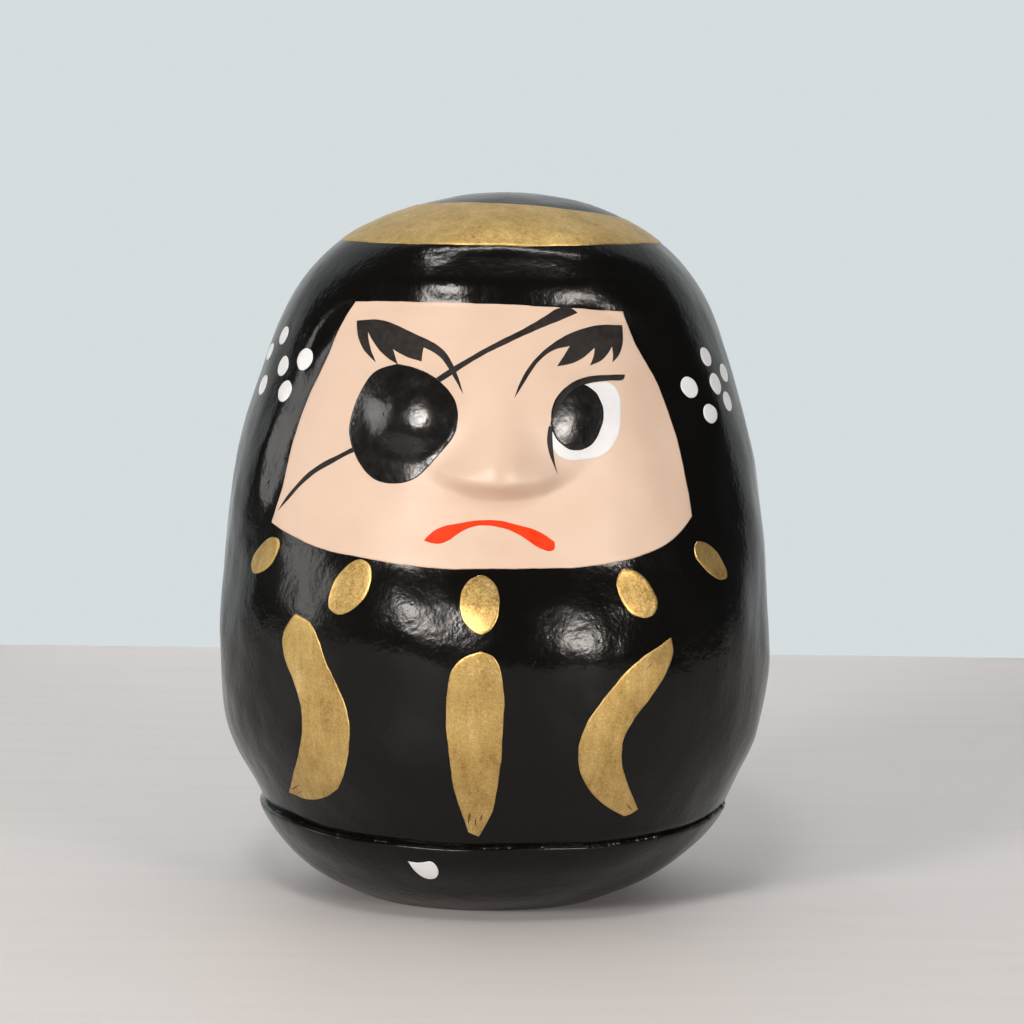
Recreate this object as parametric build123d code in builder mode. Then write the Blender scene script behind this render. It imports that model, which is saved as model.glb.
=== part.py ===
from build123d import *
import os
from math import cos, radians, sin

# A daruma doll: a hollow egg of moulded paper on a weighted dish, painted black,
# with a moulded hood round a flesh-coloured face.  Millimetres, +Z up.  The origin
# is the middle of the flat under the dish, and the face looks along -Y.

# ---- driving dimensions ----
HEIGHT = 165.0            # floor to crown
WIDTH = 130.0             # greatest width, a third of the way up
DEPTH_RATIO = 0.94        # the egg is this much shallower than it is wide
SEAM_HEIGHT = 19.0        # where the paper egg meets the dish
WALL = 2.0                # moulded paper
RIM_PROUD = 0.8           # how far the dish stands out past the egg at the seam
FOOT_RADIUS = 30.0        # flat under the dish
FOOT_SPARE = 1.0          # extra depth that is cut off level to make the flat
COAT = 0.4                # one painted coat, brushed on thick
COAT_GAP = 0.02           # keeps the second coat just clear of the first

TAPE_WIDTH = 12.0         # paper strip inside the parting line
TAPE_THICKNESS = 0.5
DISH_WALL = 3.0
SPIGOT_FOOT = 16.0        # lip of the dish that stands inside the egg
SPIGOT_TOP = 24.0
SPIGOT_WIDTH = 2.0
SPIGOT_RADIUS = 52.6      # clears the paper by about a third of a millimetre
BALLAST_HEIGHT = 14.0     # top of the clay above the floor
BEAD_RADIUS = 1.0         # glue left in the seam

ROLL_RADIUS = 7.0         # rounded hem of the hood, mostly sunk in the egg
ROLL_PROUD = 2.2
REACH = 90.0              # longer than the egg is deep
PAST_AXIS = 10.0          # outlines run on past the axis, so that their offsets meet it

RADIUS = WIDTH / 2
DEPTH_SCALE = (1, DEPTH_RATIO, 1)

# Half of the egg's outline, as (radius, height), from the seam to the crown.
SEAM_RADIUS = 54.9
EGG = [
    (SEAM_RADIUS, SEAM_HEIGHT),
    (63.3, 39),
    (RADIUS, 58),
    (61.6, 95),
    (55.1, 125),
    (45.4, 146),
    (27.5, 159.5),
    (0, HEIGHT),
]
EGG_START = (0.42, 1)     # direction of the outline as it leaves the seam
EGG_END = (-1, 0)         # level over the crown

# Half of the dish's outline, from its rim down to the flat.
RIM_RADIUS = SEAM_RADIUS + RIM_PROUD
DISH = [(RIM_RADIUS, SEAM_HEIGHT), (48.5, 10.5), (38.3, 3.8), (FOOT_RADIUS, 0)]
DISH_START = (-0.45, -1)
DISH_END = (-1, -0.42)

# Centre line of the hood's hem over the brow and down both cheeks, seen from the front.
HEM_HALF = [(0, 148), (20, 147.5), (34, 142), (41.5, 127), (46.5, 107), (50.5, 89)]

# Moulded features: middle (x, z), half-sizes (x, y, z), and how far they stand out.
NOSE = {"at": (0.5, 104), "half": (12, 9, 8.5), "proud": 4.0}
COVERED_EYE = {"at": (-20.5, 115), "half": (10, 8, 10), "proud": 3.2}
OPEN_EYE = {"at": (17.5, 116), "half": (8.5, 7, 9), "proud": 2.2}

# ---- painted outlines, seen from the front as (x, z) ----
# A round mark has a middle, half-sizes and a lean to the left in degrees.  Any other
# mark is a ring of strokes, each a line (2 points) or a smooth curve (3 or more).
FACE = [
    [(-32.3, 140.5), (0, 141), (27.7, 139.2)],
    [(27.7, 139.2), (31.5, 131), (38.6, 115.9), (43.9, 93.5)],
    [(43.9, 93.5), (33, 85.7), (5, 83.2), (-27, 84.3), (-50.9, 90.1)],
    [(-50.9, 90.1), (-46.4, 108), (-39.5, 125), (-32.3, 140.5)],
]
BROW_BAND = [
    [(-35, 153.6), (0, 152.6), (35.5, 153)],
    [(35.5, 153), (27.7, 157.7), (13.6, 161.6), (-4, 162.2), (-18.5, 160.2), (-35, 153.6)],
]
EYE_PATCH = {"at": (-20.8, 114), "half": (11.9, 13.2), "lean": -12}
STRAP_LOWER = [
    [(-49.6, 92.4), (-45.3, 97.6), (-40.4, 102.2), (-31, 107.8)],
    [(-31, 107.8), (-31.3, 108.8)],
    [(-31.3, 108.8), (-40.8, 103.2), (-45.8, 98.3), (-49.6, 92.4)],
]
STRAP_UPPER = [
    [(-13.4, 123.1), (-9.6, 125.6), (-2.6, 129.9), (5, 133.6), (15.5, 138.4)],
    [(15.5, 138.4), (12, 138.8)],
    [(12, 138.8), (4, 134.6), (-3, 131), (-10.2, 126.7), (-14, 124.2)],
    [(-14, 124.2), (-13.4, 123.1)],
]
BROW_OVER_PATCH = [
    [(-31.9, 136.2), (-25.7, 136.4), (-17, 133.2), (-10.5, 128), (-7.7, 120.9)],
    [(-7.7, 120.9), (-10.3, 125.6), (-16.6, 130.9)],
    [(-16.6, 130.9), (-17, 127.8)],
    [(-17, 127.8), (-23.2, 130.3)],
    [(-23.2, 130.3), (-22.3, 127)],
    [(-22.3, 127), (-28.6, 132.8)],
    [(-28.6, 132.8), (-27.3, 127.2)],
    [(-27.3, 127.2), (-31, 132.2), (-31.9, 136.2)],
]
BROW_OVER_EYE = [
    [(3.5, 120.2), (7.6, 128.4), (15.8, 134.3), (27.5, 136)],
    [(27.5, 136), (27.6, 132.8), (25.2, 127.9)],
    [(25.2, 127.9), (25, 131)],
    [(25, 131), (20.2, 127.4)],
    [(20.2, 127.4), (20.8, 130.7)],
    [(20.8, 130.7), (13, 127.3)],
    [(13, 127.3), (15.5, 131.3)],
    [(15.5, 131.3), (8.2, 127.4), (3.5, 120.2)],
]
PUPIL = {"at": (17.6, 115.9), "half": (5.6, 6.6), "lean": 0}
EYE_WHITE = {"at": (19.4, 115), "half": (7.6, 8.7), "lean": 0}
UPPER_LID = [
    [(11.5, 114.4), (13, 121), (18.5, 124.8), (28, 125.2)],
    [(28, 125.2), (20.6, 123.6), (15, 120.6), (11.5, 114.4)],
]
LOWER_LID = [
    [(10.9, 113.6), (11.2, 108.5), (13, 104)],
    [(13, 104), (12.3, 109), (11.5, 113.8)],
    [(11.5, 113.8), (10.9, 113.6)],
]
MOUTH = [
    [(-15.9, 88.8), (-9.5, 92.8), (-1, 93.8), (6.5, 92.2), (13, 88.9)],
    [(13, 88.9), (11, 86.9), (5.5, 90), (-1, 92.2), (-7.3, 91.4)],
    [(-7.3, 91.4), (-12, 88.3), (-15.9, 88.8)],
]
COLLAR_OVALS = [
    {"at": (-52.4, 82.6), "half": (2.2, 5.2), "lean": -35},
    {"at": (-32.3, 77.9), "half": (3.7, 6.9), "lean": -33},
    {"at": (-3.3, 75.6), "half": (4.4, 6.2), "lean": 0},
    {"at": (31.3, 77.4), "half": (3.6, 6.1), "lean": 35},
    {"at": (48.4, 83.4), "half": (2.2, 5.6), "lean": 40},
]
STROKE_LEFT = [
    [(-43.5, 71), (-47.6, 63), (-44.5, 53.5), (-43.2, 43), (-46.6, 27.9)],
    [(-46.6, 27.9), (-39.1, 28), (-34.4, 32)],
    [(-34.4, 32), (-32.2, 43), (-35.3, 56.5), (-43.5, 71)],
]
STROKE_MIDDLE = [
    [(-3.2, 65.6), (-10, 58), (-10.2, 47), (-8, 31), (-3.2, 22.4)],
    [(-3.2, 22.4), (1, 35), (2.2, 52), (0.5, 63), (-3.2, 65.6)],
]
STROKE_RIGHT = [
    [(39.3, 67.4), (37.6, 58.8), (30, 48), (28.9, 38), (32.8, 27.6)],
    [(32.8, 27.6), (26.3, 28.2), (19.6, 37), (20.6, 49), (28, 60), (39.3, 67.4)],
]

# White dots of the two blossoms: turn from the front in degrees (left is negative) and
# height of the middle.  The first dot of each blossom is its middle.
DOT_HALF = (2.9, 2.4)     # half-sizes round the egg and up it
BLOSSOM_LEFT = [(-67.2, 124.7), (-71.2, 131.7), (-55.5, 127), (-60, 119.5), (-75, 120.1), (-79, 127.6)]
BLOSSOM_RIGHT = [(64.8, 122.4), (63.9, 128.5), (52.1, 122), (58.2, 115.9), (69.8, 118.2), (73.2, 124.5)]


def egg_radius(height):
    """Radius of the egg at a height, from its outline points."""
    for (r0, z0), (r1, z1) in zip(EGG, EGG[1:]):
        if z0 <= height <= z1:
            return r0 + (r1 - r0) * (height - z0) / (z1 - z0)
    raise ValueError(f"no egg at height {height}")


def front_depth(x, z):
    """How far forward of the middle the egg's front lies, before it is flattened."""
    return (egg_radius(z) ** 2 - x**2) ** 0.5


def plain_egg(grow):
    """The smooth egg, its surface moved out by grow (in, where it is negative)."""
    root_drop = 10
    with BuildPart() as egg:
        with BuildSketch(Plane.XZ):
            with BuildLine():
                side = Spline(*EGG, tangents=[EGG_START, EGG_END], tangent_scalars=[1, 1])
                root = side @ 0 - Vector(*EGG_START) * root_drop
                Polyline(side @ 1, (-PAST_AXIS, HEIGHT), (-PAST_AXIS, root.Y), root, side @ 0)
            make_face()
            offset(amount=grow)
            with Locations((0, SEAM_HEIGHT)):
                Rectangle(REACH, 2 * HEIGHT, align=(Align.MIN, Align.MIN), mode=Mode.INTERSECT)
        revolve(axis=Axis.Z)
    return egg.part


def bump(feature, grow):
    """A rounded bump on the front, such as the nose or an eye."""
    x, z = feature["at"]
    half = tuple(size + grow for size in feature["half"])
    depth = front_depth(x, z) + feature["proud"] - feature["half"][1]
    with BuildPart() as rounded:
        Sphere(1)
        scale(by=half)
    return Pos(x, -depth, z) * rounded.part


def hem(grow):
    """The hood's rounded hem, one smooth roll from cheek to cheek over the brow."""
    half = [(x, ROLL_RADIUS - ROLL_PROUD - front_depth(x, z), z) for x, z in HEM_HALF]
    route = [(-x, y, z) for x, y, z in reversed(half[1:])] + half
    with BuildPart() as roll:
        with BuildLine() as path:
            Spline(*route)
        with BuildSketch(Plane(origin=path.line @ 0, z_dir=path.line % 0)):
            Circle(ROLL_RADIUS + grow)
        sweep()
        with Locations(path.line @ 0, path.line @ 1):
            Sphere(ROLL_RADIUS + grow)
    return roll.part


def form(grow):
    """The moulded outside of the doll: egg, hem, nose and eyes, moved out by grow."""
    with BuildPart() as outside:
        add(plain_egg(grow))
        add(hem(grow))
        for feature in (NOSE, COVERED_EYE, OPEN_EYE):
            add(bump(feature, grow))
    return outside.part


def dish_form(shrink):
    """The dish as a solid bowl up to the seam, its surface moved in by shrink."""
    head_room = 10
    with BuildPart() as bowl:
        with BuildSketch(Plane.XZ):
            with BuildLine():
                side = Spline(*DISH, tangents=[DISH_START, DISH_END], tangent_scalars=[1, 1])
                top = side @ 0 - Vector(*DISH_START) * head_room
                Polyline(side @ 1, (-PAST_AXIS, 0), (-PAST_AXIS, top.Y), top, side @ 0)
            make_face()
            offset(amount=-shrink)
            with Locations((0, SEAM_HEIGHT)):
                Rectangle(REACH, REACH, align=(Align.MIN, Align.MAX), mode=Mode.INTERSECT)
        revolve(axis=Axis.Z)
    return bowl.part


def flattened(piece):
    """A round piece, brought to the doll's depth."""
    return piece.scale(DEPTH_SCALE, about=(0, 0, 0))


def save(piece, name):
    """Bring a finished round piece to the doll's depth, label it and write it."""
    finished = flattened(piece)
    finished.label = name
    export_step(finished, f"parts/{name}.step")


def flat_shape(mark):
    """One painted mark as a flat shape, seen from the front."""
    with BuildSketch() as flat:
        if isinstance(mark, dict):
            with Locations(mark["at"]):
                Ellipse(*mark["half"], rotation=mark["lean"])
        else:
            with BuildLine():
                for stroke in mark:
                    if len(stroke) == 2:
                        Line(*stroke)
                    else:
                        Spline(*stroke)
            make_face()
    return flat.sketch


os.makedirs("parts", exist_ok=True)
moulded = form(0)
first_coat_top = form(COAT)
second_coat_foot = form(COAT + COAT_GAP)
second_coat_top = form(2 * COAT)
hollow = plain_egg(-WALL)

with BuildPart() as first_layer:
    add(first_coat_top)
    add(moulded, mode=Mode.SUBTRACT)

with BuildPart() as second_layer:
    add(second_coat_top)
    add(second_coat_foot, mode=Mode.SUBTRACT)


def save_paint(name, mark, layer, without=()):
    """One coat of paint: the outline carried back onto the doll, as thick as its layer."""
    shape = flat_shape(mark)
    covered = [flat_shape(other) for other in without]
    with BuildPart() as coat:
        with BuildSketch(Plane.XZ):
            add(shape)
            for other in covered:
                add(other, mode=Mode.SUBTRACT)
        extrude(amount=REACH)
        add(layer.part, mode=Mode.INTERSECT)
    save(coat.part, name)


# ---- moulded paper egg: a front and a back half, parted at the sides ----
with BuildPart() as shell:
    add(moulded)
    add(hollow, mode=Mode.SUBTRACT)

with BuildPart() as shell_front:
    add(shell.part)
    split(bisect_by=Plane.XZ, keep=Keep.TOP)
save(shell_front.part, "shell_front")

with BuildPart() as shell_back:
    add(shell.part)
    split(bisect_by=Plane.XZ, keep=Keep.BOTTOM)
save(shell_back.part, "shell_back")

# ---- paper strip glued inside along the parting line, from side to side over the top ----
with BuildPart() as joint_tape:
    add(hollow)
    add(plain_egg(-WALL - TAPE_THICKNESS), mode=Mode.SUBTRACT)
    with Locations((0, 0, SPIGOT_TOP + 1)):
        Box(
            2 * REACH,
            TAPE_WIDTH / DEPTH_RATIO,
            HEIGHT,
            align=(Align.CENTER, Align.CENTER, Align.MIN),
            mode=Mode.INTERSECT,
        )
save(joint_tape.part, "joint_tape")

# ---- dish under the egg: a bowl with a lip that stands inside the egg's mouth ----
with BuildPart() as round_dish:
    add(dish_form(0))
    with BuildSketch(Plane.XY.offset(-FOOT_SPARE)):
        Circle(FOOT_RADIUS)
    extrude(amount=FOOT_SPARE + DISH_WALL / 2)
    add(dish_form(DISH_WALL), mode=Mode.SUBTRACT)
    with BuildSketch(Plane.XY.offset(SPIGOT_FOOT)):
        Circle(SPIGOT_RADIUS)
        Circle(SPIGOT_RADIUS - SPIGOT_WIDTH, mode=Mode.SUBTRACT)
    extrude(amount=SPIGOT_TOP - SPIGOT_FOOT)

with BuildPart() as base_dish:
    add(flattened(round_dish.part))
    Box(
        2 * REACH,
        2 * REACH,
        2 * FOOT_SPARE,
        align=(Align.CENTER, Align.CENTER, Align.MAX),
        mode=Mode.SUBTRACT,
    )
base_dish.part.label = "base_dish"
export_step(base_dish.part, "parts/base_dish.step")

# ---- clay weight that rights the doll, poured into the dish ----
with BuildPart() as ballast:
    add(dish_form(DISH_WALL))
    with BuildSketch(Plane.XY):
        Circle(REACH)
    extrude(amount=BALLAST_HEIGHT, mode=Mode.INTERSECT)
save(ballast.part, "ballast")

# ---- ring of glue squeezed out of the seam ----
with BuildPart() as glue_bead:
    with BuildSketch(Plane.XZ):
        with Locations((SEAM_RADIUS + BEAD_RADIUS / 4, SEAM_HEIGHT + BEAD_RADIUS / 4)):
            Circle(BEAD_RADIUS)
    revolve(axis=Axis.Z)
    add(plain_egg(0), mode=Mode.SUBTRACT)
    add(dish_form(0), mode=Mode.SUBTRACT)
save(glue_bead.part, "glue_bead")

# ---- paint on the black egg ----
save_paint("face_coat", FACE, first_layer)
save_paint("brow_band", BROW_BAND, first_layer)
for count, oval in enumerate(COLLAR_OVALS, start=1):
    save_paint(f"collar_oval_{count}", oval, first_layer)
save_paint("robe_stroke_left", STROKE_LEFT, first_layer)
save_paint("robe_stroke_middle", STROKE_MIDDLE, first_layer)
save_paint("robe_stroke_right", STROKE_RIGHT, first_layer)

# ---- paint on the face ----
save_paint("eye_patch", EYE_PATCH, second_layer)
save_paint("strap_lower", STRAP_LOWER, second_layer, without=[EYE_PATCH])
save_paint("strap_upper", STRAP_UPPER, second_layer, without=[EYE_PATCH, BROW_OVER_PATCH])
save_paint("eyebrow_over_patch", BROW_OVER_PATCH, second_layer, without=[EYE_PATCH])
save_paint("eyebrow_over_eye", BROW_OVER_EYE, second_layer)
save_paint("eye_white", EYE_WHITE, second_layer, without=[PUPIL, UPPER_LID, LOWER_LID])
save_paint("pupil", PUPIL, second_layer, without=[UPPER_LID, LOWER_LID])
save_paint("upper_lid", UPPER_LID, second_layer)
save_paint("lower_lid", LOWER_LID, second_layer, without=[UPPER_LID])
save_paint("mouth", MOUTH, second_layer)

# ---- white blossoms on the sides of the hood, one dot to a piece ----
for side, blossom in (("left", BLOSSOM_LEFT), ("right", BLOSSOM_RIGHT)):
    for count, (turn, height) in enumerate(blossom, start=1):
        outward = Vector(sin(radians(turn)), -cos(radians(turn)), 0)
        sideways = Vector(cos(radians(turn)), sin(radians(turn)), 0)
        inside = outward * (egg_radius(height) / 2) + Vector(0, 0, height)
        with BuildPart() as dot:
            with BuildSketch(Plane(origin=inside, x_dir=sideways, z_dir=outward)):
                Ellipse(*DOT_HALF)
            extrude(amount=REACH)
            add(first_layer.part, mode=Mode.INTERSECT)
        save(dot.part, f"blossom_{side}_{count}")
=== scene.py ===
import math

import bmesh
import bpy
import numpy as np
from mathutils import Matrix, Vector
from mathutils.geometry import delaunay_2d_cdt


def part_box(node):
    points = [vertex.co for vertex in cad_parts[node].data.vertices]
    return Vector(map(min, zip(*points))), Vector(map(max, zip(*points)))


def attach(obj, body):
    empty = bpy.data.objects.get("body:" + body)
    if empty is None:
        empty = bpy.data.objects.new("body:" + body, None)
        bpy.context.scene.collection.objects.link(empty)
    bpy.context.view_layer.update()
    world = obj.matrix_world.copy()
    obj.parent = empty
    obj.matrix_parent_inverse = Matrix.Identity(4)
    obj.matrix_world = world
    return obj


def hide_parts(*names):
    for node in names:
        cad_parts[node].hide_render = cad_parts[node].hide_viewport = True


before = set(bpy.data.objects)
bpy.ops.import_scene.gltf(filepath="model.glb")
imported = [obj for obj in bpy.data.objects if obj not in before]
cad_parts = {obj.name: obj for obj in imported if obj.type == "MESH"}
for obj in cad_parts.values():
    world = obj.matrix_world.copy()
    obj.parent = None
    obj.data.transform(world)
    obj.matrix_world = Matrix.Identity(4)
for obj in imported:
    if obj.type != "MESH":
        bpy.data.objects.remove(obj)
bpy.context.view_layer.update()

# A daruma doll in moulded paper, painted by hand.  Shapes are worked out in
# millimetres, in the frame's own axes, and go into Blender in metres.
MM = 0.001


def node_box(node):
    """Lowest and highest corner of a CAD node, in millimetres."""
    low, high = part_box(node)
    return np.array(low) / MM, np.array(high) / MM


# ---- driving sizes, read from the frame ----
SHELL_LOW, SHELL_HIGH = node_box("shell_back")
WIDTH = SHELL_HIGH[0] - SHELL_LOW[0]
HEIGHT = SHELL_HIGH[2]
SEAM_HEIGHT = SHELL_LOW[2]
DEPTH_RATIO = 2 * SHELL_HIGH[1] / WIDTH
RIM_RADIUS = node_box("base_dish")[1][0]
RADIUS = WIDTH / 2
SEAM_STEP = 0.8             # the dish's rim stands this much proud of the egg
SEAM_RADIUS = RIM_RADIUS - SEAM_STEP
FOOT_RADIUS = 30.0
WALL = 2.0                  # moulded paper
DISH_WALL = 3.0             # the dish's paper is thicker
FACE_COAT = 0.20            # thickness of the flesh-coloured coat
MARK_COAT = 0.12            # thickness of the gold and of the white dots
EDGE_STEP = 0.3             # between the points of a mark's outline
SINK = 0.04                 # how far a coat's underside sits in what it covers
CLEAR = 0.01                # gap between a coat and the one that it lies over


# ---- smooth curves ----
def natural_curve(points, count, start=None, end=None):
    """Points along the cubic spline through points, with free or given end directions."""
    p = np.array(points, float)
    knots = np.concatenate([[0], np.cumsum(np.linalg.norm(np.diff(p, axis=0), axis=1))])
    h = np.diff(knots)
    n = len(p)
    a = np.zeros((n, n))
    b = np.zeros((n, p.shape[1]))
    for i in range(1, n - 1):
        a[i, i - 1] = h[i]
        a[i, i] = 2 * (h[i - 1] + h[i])
        a[i, i + 1] = h[i - 1]
        b[i] = 3 * (h[i] * (p[i] - p[i - 1]) / h[i - 1] + h[i - 1] * (p[i + 1] - p[i]) / h[i])
    if start is None:
        a[0, 0], a[0, 1] = 2, 1
        b[0] = 3 * (p[1] - p[0]) / h[0]
    else:
        a[0, 0] = 1
        b[0] = np.array(start) / np.linalg.norm(start)
    if end is None:
        a[-1, -1], a[-1, -2] = 2, 1
        b[-1] = 3 * (p[-1] - p[-2]) / h[-1]
    else:
        a[-1, -1] = 1
        b[-1] = np.array(end) / np.linalg.norm(end)
    slope = np.linalg.solve(a, b)
    t = np.linspace(0, knots[-1], count)
    i = np.clip(np.searchsorted(knots, t, side="right") - 1, 0, n - 2)
    u = ((t - knots[i]) / h[i])[:, None]
    step = h[i][:, None]
    return (
        (2 * u**3 - 3 * u**2 + 1) * p[i]
        + (u**3 - 2 * u**2 + u) * step * slope[i]
        + (3 * u**2 - 2 * u**3) * p[i + 1]
        + (u**3 - u**2) * step * slope[i + 1]
    )


def bell(x, width):
    """A smooth hump, 1 at 0, that dies away over width."""
    return np.exp(-((x / width) ** 2))


def ramp(x, low, high):
    """0 below low, 1 above high, smooth between."""
    u = np.clip((x - low) / (high - low), 0, 1)
    return u * u * (3 - 2 * u)


# ---- the egg, and what is moulded into it ----
EGG = [
    (SEAM_RADIUS, SEAM_HEIGHT),
    (63.3, 39),
    (RADIUS, 58),
    (61.6, 95),
    (55.1, 125),
    (45.4, 146),
    (27.5, 159.5),
    (0, HEIGHT),
]
DISH = [(FOOT_RADIUS, 0), (38.3, 3.8), (48.5, 10.5), (RIM_RADIUS, SEAM_HEIGHT)]

# Uneven hand-moulded paper: slow waves that lie over one another.  Each set has its
# wavelength and depth, and a few waves that run in directions of their own.
WAVES = np.random.RandomState(11)
WAVES_PER_SET = 7
EVEN_OUT = 1.4 / WAVES_PER_SET**0.5     # keeps the sum of a set's waves near its depth
WAVE_SETS = []
for wavelength, depth in ((70, 0.35), (38, 0.22), (19, 0.10), (9, 0.035)):
    direction = WAVES.normal(size=(WAVES_PER_SET, 3))
    direction /= np.linalg.norm(direction, axis=1)[:, None]
    turns = direction * (2 * np.pi / wavelength) * WAVES.uniform(0.75, 1.3, (WAVES_PER_SET, 1))
    phases = WAVES.uniform(0, 2 * np.pi, WAVES_PER_SET)
    WAVE_SETS.append((turns, phases, depth * EVEN_OUT))


def lumps(p):
    """How far the paper swells in or out at each point."""
    swell = np.zeros(len(p))
    for turns, phase, depth in WAVE_SETS:
        swell += depth * np.sin(p @ turns.T + phase).sum(axis=1)
    return swell


# The hood's opening, a little to the left of the middle: half its width at each height,
# and its top edge.
OPENING_MIDDLE = -2.5
OPENING_HEIGHTS = [75, 89, 98, 108, 117, 126, 134, 141]
OPENING_HALVES = [60, 52.5, 49.8, 47.2, 43.8, 40.2, 36.8, 33.2]
OPENING_TOP = 144.8
OPENING_CORNER = 10.0


def opening_depth(x, z):
    """Distance inside the hood's opening, negative outside, round at the top corners."""
    side = np.interp(z, OPENING_HEIGHTS, OPENING_HALVES) - np.abs(x - OPENING_MIDDLE)
    top = OPENING_TOP - z
    k = OPENING_CORNER
    blend = np.clip(0.5 + 0.5 * (side - top) / k, 0, 1)
    return side * (1 - blend) + top * blend - k * blend * (1 - blend)


# The relief below is in millimetres.  Each term has its height first, then where it is
# (x across and z up) and how wide it is.
def covered_eye(x, z):
    """A moulded eyeball under the patch, in a shallow ring-shaped groove."""
    dome = 2.5 * np.exp(-(np.hypot(0.85 * (x + 18.2), z - 117.2) / 7.8) ** 3)
    groove = 0.22 * bell(np.hypot(x + 19.6, z - 114.6) - 9.2, 2.2)
    return dome - groove


def open_eye(x, z):
    """A lower eyeball, highest at the inner corner."""
    return 1.9 * np.exp(-(np.hypot(x - 14.2, 0.75 * (z - 116.6)) / 7.0) ** 2.6)


def nose(x, z):
    """A low bridge that widens to a broad blunt tip, cut off short underneath."""
    aside = np.abs(x - 1.2)
    foot = 97.4 + 2.4 * np.minimum((aside / 12) ** 2, 2)
    along = ramp(z, foot, foot + 4.8) * (1 - ramp(z, 103.5, 129))
    half = np.interp(z, [97, 101, 106, 113, 121, 128], [13, 12, 9.6, 7.4, 6.2, 6])
    bridge = 5.2 * along * np.exp(-(aside / half) ** 2.1)
    wings = 0.7 * bell(aside - 8.8, 3.4) * bell(z - 102.4, 3.6)
    tip = 0.9 * bell(x - 1.0, 6) * bell(z - 103.6, 5)
    return bridge + wings + tip


def hood_edge(x, z, inside):
    """Relief across the hood's edge: a broad roll outside, then down to the sunken face.
    It is fuller on the left, and a faint ridge runs along the foot of the gold brow band."""
    right = ramp(x, 20, 36)
    roll = np.interp(z, [84, 104, 130, 150], [0.3, 1.3, 1.4, 1.7]) * (1 - 0.45 * right)
    deep = np.interp(z, [75, 85, 97, 109, 125, 135, 143], [0, 0.9, 2.0, 2.4, 2.6, 2.6, 2.1])
    lip = np.interp(z, [128, 140], [-4, -1.8])
    sole = np.interp(z, [128, 140], [3, 5.2])
    drop = (1 - right) * ramp(inside, lip, sole) + right * ramp(inside, -9, 4)
    ridge = 0.45 * bell(z - 153.2 + 0.0022 * (x + 8) ** 2, 1.6) * bell(x + 2, 30)
    return roll * bell(inside + 11, 6.5) - deep * drop + ridge


def belly(x, z):
    """The robe swells below the collar, a little lower on the right."""
    return 2.8 * bell(z - 64.6 + 0.04 * x, 12.5) * np.exp(-(x / 46) ** 4)


def front_relief(x, z):
    """How far the front stands out from the egg, towards the viewer."""
    inside = opening_depth(x, z)
    face = (covered_eye(x, z) + open_eye(x, z) + nose(x, z)) * ramp(inside, 0, 4)
    full_cheek = 0.9 * bell(x - 29, 10) * bell(z - 97, 9)
    flat_cheek = 0.7 * bell(x + 31, 9) * bell(z - 102, 8)
    collar = 1.0 * bell(z - 84, 5) * bell(x, 42)
    return hood_edge(x, z, inside) + face + full_cheek - flat_cheek + belly(x, z) - collar


class Skin:
    """A turned outline, flattened to the doll's depth, with relief: run goes 0 to 1 along
    the outline, and turn is the angle round it, 0 at the front and growing to the right."""

    LINE_POINTS = 6000
    TURN_STEP = 2e-4            # for normals, as a turn and as a share of the run
    SEARCH_STEPS, PACE = 12, 0.8

    def __init__(self, outline, start, end, relief):
        self.line = natural_curve(outline, self.LINE_POINTS, start=start, end=end)
        steps = np.linalg.norm(np.diff(self.line, axis=0), axis=1)
        self.run = np.concatenate([[0], np.cumsum(steps)]) / steps.sum()
        self.length = steps.sum()
        self.relief = relief

    def at(self, run):
        """Radius and height of the outline."""
        return np.interp(run, self.run, self.line[:, 0]), np.interp(run, self.run, self.line[:, 1])

    def run_at(self, height):
        """Where the outline is at a height."""
        return np.interp(height, self.line[:, 1], self.run)

    def run_at_radius(self, radius):
        """Where the outline, past its widest place, has come in to a radius."""
        widest = int(self.line[:, 0].argmax())
        return np.interp(radius, self.line[:widest:-1, 0], self.run[:widest:-1])

    def points(self, turn, run):
        """The skin's points, relief and all."""
        r, z = self.at(run)
        p = np.stack([r * np.sin(turn), -DEPTH_RATIO * r * np.cos(turn), z], axis=1)
        return self.relief(p, turn, r)

    def normals(self, turn, run):
        """Outward directions, from four points close around each one."""
        step = self.TURN_STEP
        low, high = np.clip(run - step, 0, 1), np.clip(run + step, 0, 1)
        across = self.points(turn + step, run) - self.points(turn - step, run)
        n = np.cross(across, self.points(turn, high) - self.points(turn, low))
        return n / np.maximum(np.linalg.norm(n, axis=1), 1e-12)[:, None]

    def seen_from_front(self, x, z):
        """Turn and run of the front's points that show at (x, z), closed in on step by step."""
        want_x, want_z = x.copy(), z.copy()
        for _ in range(self.SEARCH_STEPS):
            run = self.run_at(want_z)
            r = self.at(run)[0]
            turn = np.arcsin(np.clip(want_x / np.maximum(r, 1e-6), -0.9999, 0.9999))
            p = self.points(turn, run)
            want_x += self.PACE * (x - p[:, 0])
            want_z += self.PACE * (z - p[:, 2])
        return turn, run


def seam_rise(turn):
    """The seam isn't level: it runs higher at the sides than in front."""
    return 1.9 * np.sin(turn) ** 2 + 0.25 * np.sin(5 * turn + 1) + 0.15 * np.sin(11 * turn)


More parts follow.
